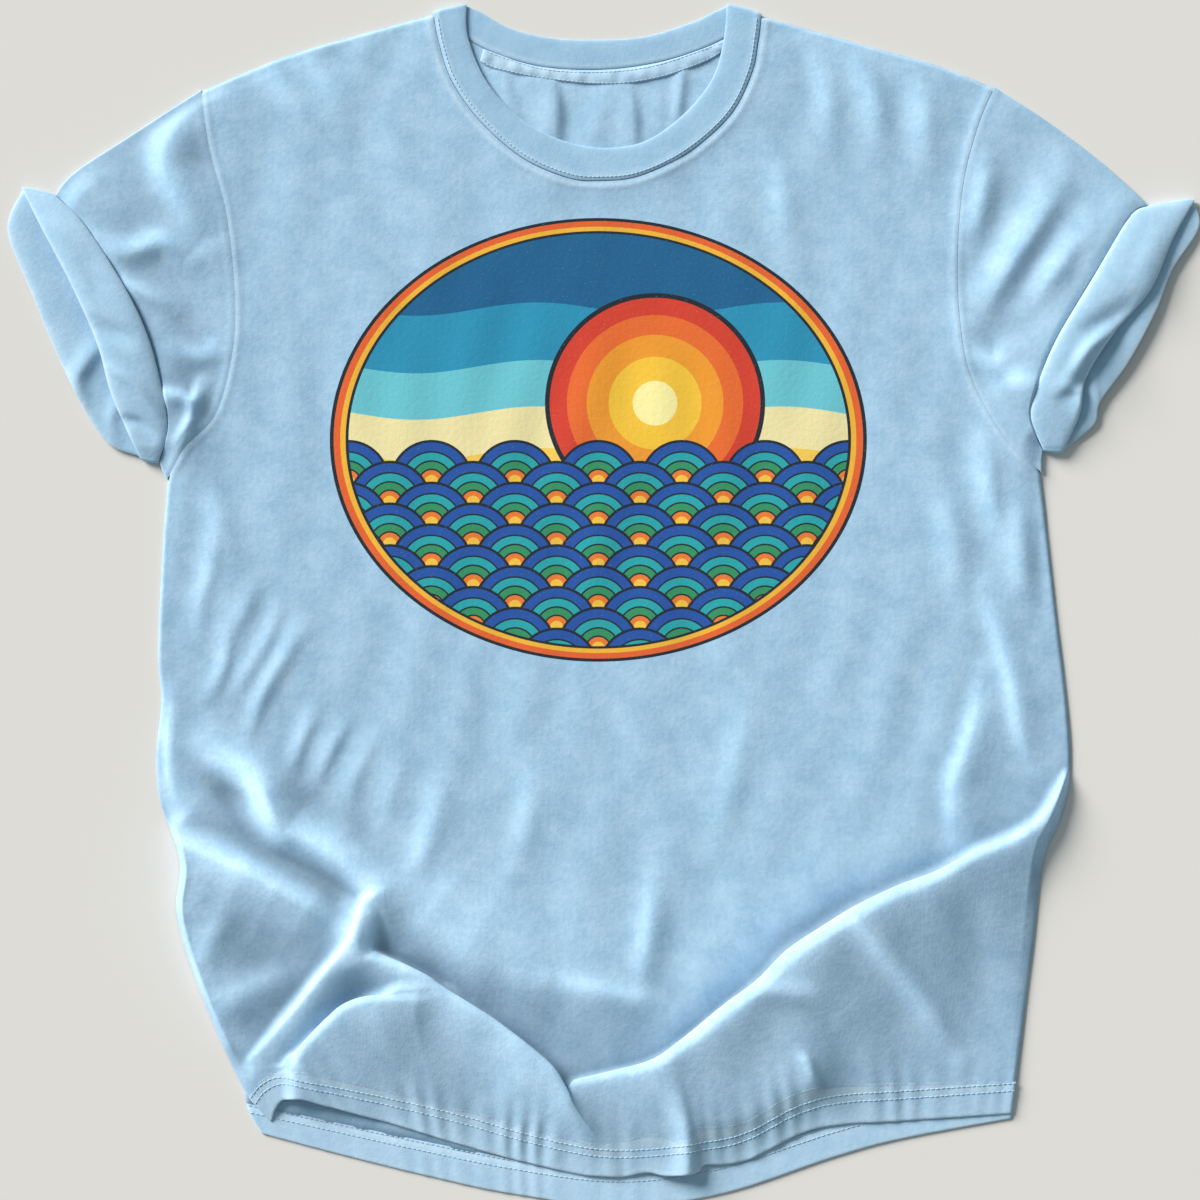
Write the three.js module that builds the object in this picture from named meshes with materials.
// A short-sleeved cotton T-shirt laid flat on a table, face up, with its sleeves rolled up and folds across the hem.
// Millimetres. +X is to the right as one looks down on the shirt, +Y is towards the collar and +Z is up.
// Left and right are as one looks down on it. Every piece is a sheet of cloth of its real outline, thin but solid:
// two body panels with their turned-up hems, two sleeves that are flattened tubes, two rolled cuffs,
// the ribbed neckband, which is one closed ring, and the tape that covers the seam inside the back neck.
import * as THREE from "three";

// Thickness of the cloth and of what is sewn from it.
const JERSEY = 0.9;
const HEM = 1.7;
const RIB = 1.6;
const TAPE = 0.6;
const CUFF_AT_FOLD = 2.4;
const CUFF_SWELL = 3.8;
// Air left between two pieces that touch.
const GAP = 0.3;
// How far the turned-up hem reaches, as a share of the way from the hem to the shoulder.
const HEM_SHARE = 0.031;
const HEM_GAP_SHARE = 0.0005;
// The armpit's place on that way, and the two neck points' places across the shoulders.
const ARMPIT_SHARE = 0.62;
const NECK_LEFT_SHARE = 0.3;
const NECK_RIGHT_SHARE = 0.7;
// How fast the bend of a panel's sides dies away towards its middle.
const PANEL_POWER = 6;
// Heights of the upper layer: where it lies flat, and how much higher it runs at the neck, hem and cuffs.
const FLAT_TOP = 2.6;
const NECK_LIFT = { rise: 1.1, reach: 12 };
const HEM_LIFT = { rise: 1.4, reach: 40 };
const CUFF_LIFT = { rise: 1.4, swell: 4.6, reach: 24 };
// The folds die out over this distance from the outline, where the upper layer turns under.
const RIM_REACH = 14;
// Heights of the middle of the neckband's front, of the back neck tape's underside,
// and of the middle of a cuff's front, at its ends and at its crown.
const NECKBAND_LIFT = 3.1;
const TAPE_LIFT = JERSEY + GAP;
const CUFF_MIDDLE = { ends: 4, crown: 11 };

// Outlines seen from above, as points on smooth curves. They run upwards, or from left to right.
const OUTLINE = {
  sideLeft: [[-197, -313], [-215, -291], [-240, -235], [-254, -189], [-252, -157], [-264, -120], [-266, -90],
    [-263, -60], [-265, -30], [-262, 36], [-259, 73]],
  sideRight: [[247, -308], [259, -213], [266, -157], [276, -132], [282, -105], [280, -63], [274, -12], [269, 33], [264, 77]],
  armholeLeft: [[-259, 73], [-248, 92], [-230, 112], [-220, 150], [-219, 186], [-224, 232], [-234, 270], [-239, 305]],
  armholeRight: [[264, 77], [245, 94], [228, 121], [218, 149], [214, 195], [217, 246], [226, 283], [236, 307]],
  shoulderLeft: [[-239, 305], [-188, 326], [-130, 343], [-100, 351]],
  shoulderRight: [[97, 350], [161, 332], [204, 320], [236, 307]],
  neckFront: [[-100, 351], [-97, 335], [-89, 311], [-72, 287], [-47, 265], [-20, 253], [0, 251], [24, 254], [53, 268],
    [78, 290], [91, 315], [95, 335], [97, 350]],
  neckBack: [[-100, 351], [-85, 340], [-66, 329], [-36, 320], [0, 318], [33, 322], [60, 330], [81, 340], [97, 350]],
  collarFront: [[-80, 356], [-79, 337], [-68, 311], [-48, 289], [-24, 276], [2, 271], [27, 275], [50, 291], [67, 312],
    [74, 335], [76, 356]],
  collarBack: [[-80, 356], [-72, 353], [-54, 343], [-28, 337], [0, 336], [27, 338], [54, 346], [69, 353], [76, 356]],
  tapeTop: [[-70, 330.5], [-36, 319.3], [0, 317.3], [33, 321.3], [70, 333.5]],
  tapeLow: [[-72, 323], [-62, 318], [-30, 312], [6, 309], [36, 313], [64, 323], [75, 330]],
  hemFront: [[-197, -313], [-191, -303], [-180, -299], [-159, -305], [-100, -322], [-48, -337], [6, -347], [60, -343],
    [87, -338], [120, -322], [144, -316], [183, -313], [247, -308]],
  hemBack: [[-203, -320], [-150, -334], [-101, -346], [-54, -356], [12, -364], [74, -356], [141, -334], [182, -323],
    [247, -311]],
  sideLeftBack: [[-203, -320], [-211, -306], [-215, -291], [-240, -235], [-254, -189], [-252, -157], [-264, -120],
    [-266, -90], [-263, -60], [-265, -30], [-262, 36], [-259, 73]],
  sideRightBack: [[247, -311], [259, -213], [266, -157], [276, -132], [282, -105], [280, -63], [274, -12], [269, 33],
    [264, 77]],
};
const SLEEVES = {
  left: {
    armhole: OUTLINE.armholeLeft,
    over: [[-239, 305], [-284, 276], [-314, 256], [-326, 242]],
    under: [[-259, 73], [-262, 79], [-264, 84]],
    cuffInner: [[-264, 84], [-259, 102], [-262, 126], [-270, 157], [-284, 187], [-308, 224], [-326, 242]],
    mouth: [[-276, 86], [-283, 101], [-293, 125], [-301, 154], [-317, 190], [-336, 226], [-346, 246]],
    backEdge: [[-276, 86], [-295, 94], [-310, 116], [-326, 149], [-341, 185], [-355, 222], [-346, 246]],
  },
  right: {
    armhole: OUTLINE.armholeRight,
    over: [[236, 307], [267, 287], [300, 262], [328, 236]],
    under: [[264, 77], [264, 84], [265, 91]],
    cuffInner: [[265, 91], [258, 108], [260, 123], [272, 154], [295, 193], [317, 229], [328, 236]],
    mouth: [[278, 90], [287, 111], [291, 133], [307, 159], [329, 185], [343, 216], [356, 239]],
    backEdge: [[278, 90], [296, 105], [300, 119], [317, 143], [333, 173], [343, 198], [359, 223], [356, 239]],
  },
};

// Folds of the upper layer. Each runs along a curve, with its height at even steps along it,
// and dies away over one width to the left of the way it runs and another to the right.
const FOLDS = [
  { path: [[281, -108], [264, -126], [230, -148], [184, -169], [128, -202], [80, -239], [34, -272], [0, -283], [-16, -286]],
    rise: [6, 15, 18, 20, 20, 17, 8], left: 42, right: 11 },
  { path: [[-143, -178], [-151, -197], [-163, -215], [-179, -233], [-193, -253], [-212, -283]],
    rise: [20, 26, 22, 16, 8], left: 12, right: 26 },
  { path: [[-143, -182], [-127, -214], [-86, -235], [-59, -253], [-28, -274], [-5, -301], [16, -326]],
    rise: [22, 24, 20, 17, 14, 9, 2], left: 12, right: 34 },
  { path: [[-86, -237], [-111, -234], [-135, -235], [-152, -240], [-163, -249], [-190, -277], [-203, -289]],
    rise: [10, 16, 18, 16, 12, 6], left: 34, right: 10 },
  { path: [[-240, -84], [-212, -104], [-200, -116], [-193, -131], [-158, -151], [-140, -163], [-126, -182], [-122, -197]],
    rise: [3, 8, 12, 14, 15, 13, 6], left: 12, right: 22 },
  { path: [[-250, -155], [-230, -161], [-211, -169], [-187, -181], [-163, -193]],
    rise: [5, 9, 9, 8, 5], left: 20, right: 18 },
  { path: [[-222, -245], [-211, -233], [-194, -225], [-175, -221]], rise: [3, 6, 6, 3], left: 14, right: 16 },
  { path: [[165, -216], [184, -232], [200, -255], [214, -275]], rise: [2, 6, 6, 2], left: 16, right: 16 },
  { path: [[104, -249], [125, -247], [141, -249], [152, -260], [131, -283], [108, -299]],
    rise: [3, 6, 9, 9, 8, 4], left: 14, right: 16 },
  { path: [[46, -293], [39, -309], [31, -324], [26, -345]], rise: [7, 11, 13, 13], left: 18, right: 18 },
  { path: [[232, 0], [241, -23], [248, -46], [253, -73]], rise: [2, 6, 6, 2], left: 12, right: 12 },
  { path: [[227, -46], [224, -80], [214, -120], [212, -146]], rise: [2, 5, 6, 3], left: 12, right: 12 },
  { path: [[-235, 296], [-257, 275], [-259, 257], [-245, 232], [-236, 213]], rise: [2, 6, 7, 7, 2], left: 14, right: 16 },
  { path: [[275, 247], [259, 222], [241, 194], [225, 169]], rise: [2, 6, 6, 2], left: 14, right: 14 },
];
const SAMPLES = 48;

// Steps along the seams. The pieces on both sides of a seam have the same ones, so that they follow each other.
const ARMHOLE_STEPS = 14;
const NECK_STEPS = 24;
const SHOULDER_STEPS = 12;
// Steps up the sides, to just above the folds and from there to the armpit.
const FOLD_STEPS = 22;
const FOLD_SHARE = 0.36;
const PLAIN_STEPS = 6;

// A smooth curve through points, read at an even share of its length.
function curve(points) {
  const line = new THREE.SplineCurve(points.map(([x, y]) => new THREE.Vector2(x, y)));
  line.arcLengthDivisions = 400;
  return (share) => line.getPointAt(Math.min(1, Math.max(0, share)));
}

// Several curves end to end, with the share of the whole at which each one ends.
function chain(parts) {
  return (share) => {
    let start = 0;
    for (const [part, end] of parts) {
      if (share <= end || end === 1) return part((share - start) / (end - start));
      start = end;
    }
  };
}

// A patch of the plan between four curves that meet at its corners: straight from the low curve to the high one,
// and bent near each side by as much as that side is bent, which dies away as a power of the way across.
function patch(low, high, left, right, power) {
  const bend = (side, start, end, v) => side(v).sub(start.lerp(end, v));
  return (u, v) => low(u).lerp(high(u), v)
    .addScaledVector(bend(left, low(0), high(0), v), (1 - u) ** power)
    .addScaledVector(bend(right, low(1), high(1), v), u ** power);
}

const sampled = (points) => {
  const at = curve(points);
  return Array.from({ length: SAMPLES + 1 }, (_, k) => at(k / SAMPLES));
};

// The distance from a point to a sampled curve, which side it is on and how far along the nearest place is.
function nearest(x, y, line) {
  let best = { distance: Infinity, side: 1, share: 0 };
  for (let k = 0; k < line.length - 1; k++) {
    const a = line[k];
    const [dx, dy] = [line[k + 1].x - a.x, line[k + 1].y - a.y];
    const t = Math.min(1, Math.max(0, ((x - a.x) * dx + (y - a.y) * dy) / (dx * dx + dy * dy)));
    const distance = Math.hypot(x - a.x - t * dx, y - a.y - t * dy);
    if (distance < best.distance) {
      const side = dx * (y - a.y) - dy * (x - a.x) > 0 ? 1 : -1;
      best = { distance, side, share: (k + t) / (line.length - 1) };
    }
  }
  return best;
}

// A list of values read at a share of its length.
function along(values, share) {
  const place = share * (values.length - 1);
  const k = Math.min(values.length - 2, Math.floor(place));
  return THREE.MathUtils.lerp(values[k], values[k + 1], place - k);
}

const bell = (distance, width) => Math.exp(-((distance / width) ** 2));
const FOLD_LINES = FOLDS.map((fold) => sampled(fold.path));
const RIM_LINES = [OUTLINE.sideLeft, OUTLINE.sideRight, OUTLINE.shoulderLeft, OUTLINE.shoulderRight,
  SLEEVES.left.over, SLEEVES.left.under, SLEEVES.right.over, SLEEVES.right.under].map(sampled);
const NECK_LINE = sampled(OUTLINE.neckFront);
const HEM_LINE = sampled(OUTLINE.hemFront);
const CUFF_LINES = [SLEEVES.left.cuffInner, SLEEVES.right.cuffInner].map(sampled);

// The height of the upper layer's top face above any point of the plan. Folds that cross are joined by a
// smooth maximum, the cube root of the sum of their cubes.
function drape(x, y) {
  let cubes = 0;
  FOLDS.forEach((fold, k) => {
    const { distance, side, share } = nearest(x, y, FOLD_LINES[k]);
    const width = side > 0 ? fold.left : fold.right;
    cubes += (along(fold.rise, share) * bell(distance, width)) ** 3;
  });
  const to = (line) => nearest(x, y, line).distance;
  const inland = THREE.MathUtils.smoothstep(Math.min(...RIM_LINES.map(to)), 0, RIM_REACH);
  const cuff = bell(Math.min(...CUFF_LINES.map(to)), CUFF_LIFT.reach);
  return FLAT_TOP + inland * Math.cbrt(cubes) + NECK_LIFT.rise * bell(to(NECK_LINE), NECK_LIFT.reach)
    + HEM_LIFT.rise * bell(to(HEM_LINE), HEM_LIFT.reach) + (CUFF_LIFT.rise + CUFF_LIFT.swell * inland) * cuff;
}

// Numbers from start to end, in even steps.
const steps = (start, end, count) => Array.from({ length: count + 1 }, (_, k) => start + (end - start) * k / count);
const joined = (...lists) => lists.flatMap((list, k) => (k ? list.slice(1) : list));

// A closed mesh from rows of points. Each row is a closed loop of the same length. The rows close on each other
// in a ring, or are capped at both ends, where each loop is a strip folded flat: its point k faces point -1 - k.
function closedMesh(name, rows, ringed, material) {
  const size = rows[0].length;
  const at = (i, j) => (i % rows.length) * size + (j % size);
  const faces = [];
  for (let i = 0; i < rows.length - (ringed ? 0 : 1); i++)
    for (let j = 0; j < size; j++)
      faces.push([at(i, j), at(i + 1, j), at(i + 1, j + 1)], [at(i, j), at(i + 1, j + 1), at(i, j + 1)]);
  if (!ringed)
    for (let j = 0; j < size / 2 - 1; j++) {
      const [a, b, c, d] = [j, j + 1, size - 2 - j, size - 1 - j];
      const last = (rows.length - 1) * size;
      faces.push([a, b, c], [a, c, d], [last + a, last + c, last + b], [last + a, last + d, last + c]);
    }
  return solid(name, rows.flat(), faces, material);
}

// A mesh from points and triangles, turned the right way out.
function solid(name, points, faces, material) {
  const volume = faces.reduce((sum, [a, b, c]) => sum + points[a].dot(points[b].clone().cross(points[c])), 0);
  const geometry = new THREE.BufferGeometry().setFromPoints(points);
  geometry.setIndex((volume < 0 ? faces.map(([a, b, c]) => [a, c, b]) : faces).flat());
  geometry.computeVertexNormals();
  const mesh = new THREE.Mesh(geometry, material);
  mesh.name = name;
  return mesh;
}

// A flat-lying sheet: a patch of the plan with the heights of its top and bottom faces.
function sheet(name, plan, acrossAt, upAt, top, thickness, material) {
  const rows = acrossAt.map((u) => {
    const column = upAt.map((v) => plan(u, v));
    const upper = column.map(({ x, y }) => new THREE.Vector3(x, y, top(x, y)));
    const lower = upper.map((p) => p.clone().setZ(p.z - thickness));
    return [...upper, ...lower.reverse()];
  });
  return closedMesh(name, rows, false, material);
}

// A sheet that lies quite flat: the border of a patch of the plan, filled in.
function slab(name, plan, acrossAt, upAt, base, thickness, material) {
  const border = [
    ...acrossAt.slice(1).map((u) => plan(u, upAt[0])),
    ...upAt.slice(1).map((v) => plan(1, v)),
    ...acrossAt.slice(0, -1).reverse().map((u) => plan(u, upAt.at(-1))),
    ...upAt.slice(0, -1).reverse().map((v) => plan(0, v)),
  ];
  const count = border.length;
  const points = [base, base + thickness].flatMap((z) => border.map(({ x, y }) => new THREE.Vector3(x, y, z)));
  const faces = THREE.ShapeUtils.triangulateShape(border, []).flatMap(([a, b, c]) =>
    [[a, c, b], [a + count, b + count, c + count]]);
  for (let k = 0; k < count; k++) {
    const next = (k + 1) % count;
    faces.push([k, next, next + count], [k, next + count, k + count]);
  }
  return solid(name, points, faces, material);
}

// A flattened ring of cloth, such as a sleeve. Its front layer lies over its back layer, and the cloth turns
// round at both ends in a half circle. Each layer gives its plan, mid height and thickness for a share a
// along the ring and a share q across it.
function ring(name, front, back, count, turns, acrossAt, material) {
  const place = (layer, a, q) => {
    const { plan, height, thick } = layer;
    const p = plan(a, q);
    return { p, z: height(a, q, p), t: thick(a, q) };
  };
  const strip = (points) => [
    ...points.map(({ p, z, t, n }) => new THREE.Vector3(p.x, p.y, z).addScaledVector(n, t / 2)),
    ...points.map(({ p, z, t, n }) => new THREE.Vector3(p.x, p.y, z).addScaledVector(n, -t / 2)).reverse(),
  ];
  const layer = (which, a, up) =>
    strip(acrossAt.map((q) => ({ ...place(which, a, q), n: new THREE.Vector3(0, 0, up) })));
  const turn = (a, angle) => strip(acrossAt.map((q) => {
    const [over, below] = [place(front, a, q), place(back, a, q)];
    const inner = front.plan(Math.abs(a - 0.02), q);
    const out = over.p.clone().sub(inner).normalize();
    const radius = (over.z - below.z) / 2;
    const [c, s] = [Math.cos(angle), Math.sin(angle)];
    return {
      p: over.p.clone().addScaledVector(out, radius * c),
      z: below.z + radius * (1 + s),
      t: THREE.MathUtils.lerp(below.t, over.t, (1 + s) / 2),
      n: new THREE.Vector3(out.x * c, out.y * c, s),
    };
  }));
  const half = steps(Math.PI / 2, -Math.PI / 2, turns).slice(1, -1);
  return closedMesh(name, [
    ...steps(0, 1, count).map((a) => layer(front, a, 1)),
    ...half.map((angle) => turn(1, angle)),
    ...steps(1, 0, count).map((a) => layer(back, a, -1)),
    ...half.map((angle) => turn(0, -angle)),
  ], true, material);
}

const cloth = (name, color) => new THREE.MeshStandardMaterial({ name, color, roughness: 0.9, metalness: 0 });
const jersey = cloth("jersey", 0xa5c6df);
const rib = cloth("rib", 0x9fc1db);
const tape = cloth("tape", 0xadcce3);
const turned = cloth("turned_jersey", 0xafcfe6);

// The plan of a body panel, between its hem, its shoulders and neck, and its sides and armholes.
function panelPlan(hem, neck, sideLeft, sideRight) {
  return patch(
    curve(hem),
    chain([[curve(OUTLINE.shoulderLeft), NECK_LEFT_SHARE], [curve(neck), NECK_RIGHT_SHARE], [curve(OUTLINE.shoulderRight), 1]]),
    chain([[curve(sideLeft), ARMPIT_SHARE], [curve(OUTLINE.armholeLeft), 1]]),
    chain([[curve(sideRight), ARMPIT_SHARE], [curve(OUTLINE.armholeRight), 1]]),
    PANEL_POWER,
  );
}

// Places across a panel, and up it from the top of its hem.
const ACROSS = joined(steps(0, NECK_LEFT_SHARE, SHOULDER_STEPS), steps(NECK_LEFT_SHARE, NECK_RIGHT_SHARE, NECK_STEPS),
  steps(NECK_RIGHT_SHARE, 1, SHOULDER_STEPS));
const UP = joined(steps(HEM_SHARE + HEM_GAP_SHARE, FOLD_SHARE, FOLD_STEPS), steps(FOLD_SHARE, ARMPIT_SHARE, PLAIN_STEPS),
  steps(ARMPIT_SHARE, 1, ARMHOLE_STEPS));

// The front of the body and the back, each a panel and the hem turned up along its lower edge.
function frontBody() {
  const plan = panelPlan(OUTLINE.hemFront, OUTLINE.neckFront, OUTLINE.sideLeft, OUTLINE.sideRight);
  return [
    sheet("front_panel", plan, ACROSS, UP, drape, JERSEY, jersey),
    sheet("front_hem", plan, ACROSS, steps(0, HEM_SHARE, 2), drape, HEM, turned),
  ];
}

function backBody() {
  const plan = panelPlan(OUTLINE.hemBack, OUTLINE.neckBack, OUTLINE.sideLeftBack, OUTLINE.sideRightBack);
  return [
    slab("back_panel", plan, ACROSS, UP, 0, JERSEY, jersey),
    slab("back_hem", plan, ACROSS, steps(0, HEM_SHARE, 2), 0, HEM, turned),
  ];
}

function sleeve(side, { armhole, over, under, cuffInner }) {
  const top = [...cuffInner].reverse();
  const plan = patch(curve([...armhole].reverse()), curve(top), curve(over), curve(under), 1);
  const reach = 75;
  const acrossAt = steps(GAP / reach, 1 - GAP / reach, 6);
  const front = { plan, height: (a, q, { x, y }) => drape(x, y) - JERSEY / 2, thick: () => JERSEY };
  const back = { plan, height: () => JERSEY / 2, thick: () => JERSEY };
  return ring(`sleeve_${side}`, front, back, ARMHOLE_STEPS, 4, acrossAt, jersey);
}

// A cuff rolled up outside the sleeve. Its front is a soft roll, and its back lies pressed flat and reaches
// further out, so that its inside shows past the front's edge.
function cuff(side, { cuffInner, mouth, backEdge }) {
  const level = (a, b) => {
    const [inner, outer] = [curve(a), curve(b)];
    return (share, q) => inner(1 - share).lerp(outer(1 - share), q);
  };
  const swell = (a) => Math.sin(Math.PI * a) ** 0.7;
  const front = {
    plan: level(cuffInner, mouth),
    height: (a) => CUFF_MIDDLE.ends + (CUFF_MIDDLE.crown - CUFF_MIDDLE.ends) * swell(a),
    thick: (a, q) => CUFF_AT_FOLD + CUFF_SWELL * swell(a) * (0.55 + 0.45 * Math.sin(Math.PI * q)),
  };
  const back = { plan: level(cuffInner, backEdge), height: () => CUFF_AT_FOLD / 2, thick: () => CUFF_AT_FOLD };
  return ring(`cuff_${side}`, front, back, ARMHOLE_STEPS, 4, steps(0, 1, 5), turned);
}

function neckband() {
  const level = (seam, edge) => {
    const [inner, outer] = [curve(seam), curve(edge)];
    return (a, q) => inner(a).lerp(outer(a), q);
  };
  const width = 20;
  const front = { plan: level(OUTLINE.neckFront, OUTLINE.collarFront), height: () => NECKBAND_LIFT, thick: () => RIB };
  const back = { plan: level(OUTLINE.neckBack, OUTLINE.collarBack), height: () => RIB / 2, thick: () => RIB };
  return ring("neckband", front, back, NECK_STEPS, 4, steps(2.5 * GAP / width, 1, 2), rib);
}

function neckTape() {
  const { tapeTop, tapeLow } = OUTLINE;
  const [high, low] = [curve(tapeTop), curve(tapeLow)];
  const plan = (u, v) => low(u).lerp(high(u), v);
  return slab("neck_tape", plan, steps(0, 1, 16), [0, 1], TAPE_LIFT, TAPE, tape);
}

const shirt = new THREE.Group();
shirt.add(
  ...frontBody(),
  ...backBody(),
  ...Object.entries(SLEEVES).flatMap(([side, shape]) => [sleeve(side, shape), cuff(side, shape)]),
  neckband(),
  neckTape(),
);

// The origin goes to the middle of the shirt's box, on the surface that it lies on.
const box = new THREE.Box3().setFromObject(shirt);
const middle = box.getCenter(new THREE.Vector3());
shirt.position.set(-middle.x, -middle.y, -box.min.z);

export default shirt;
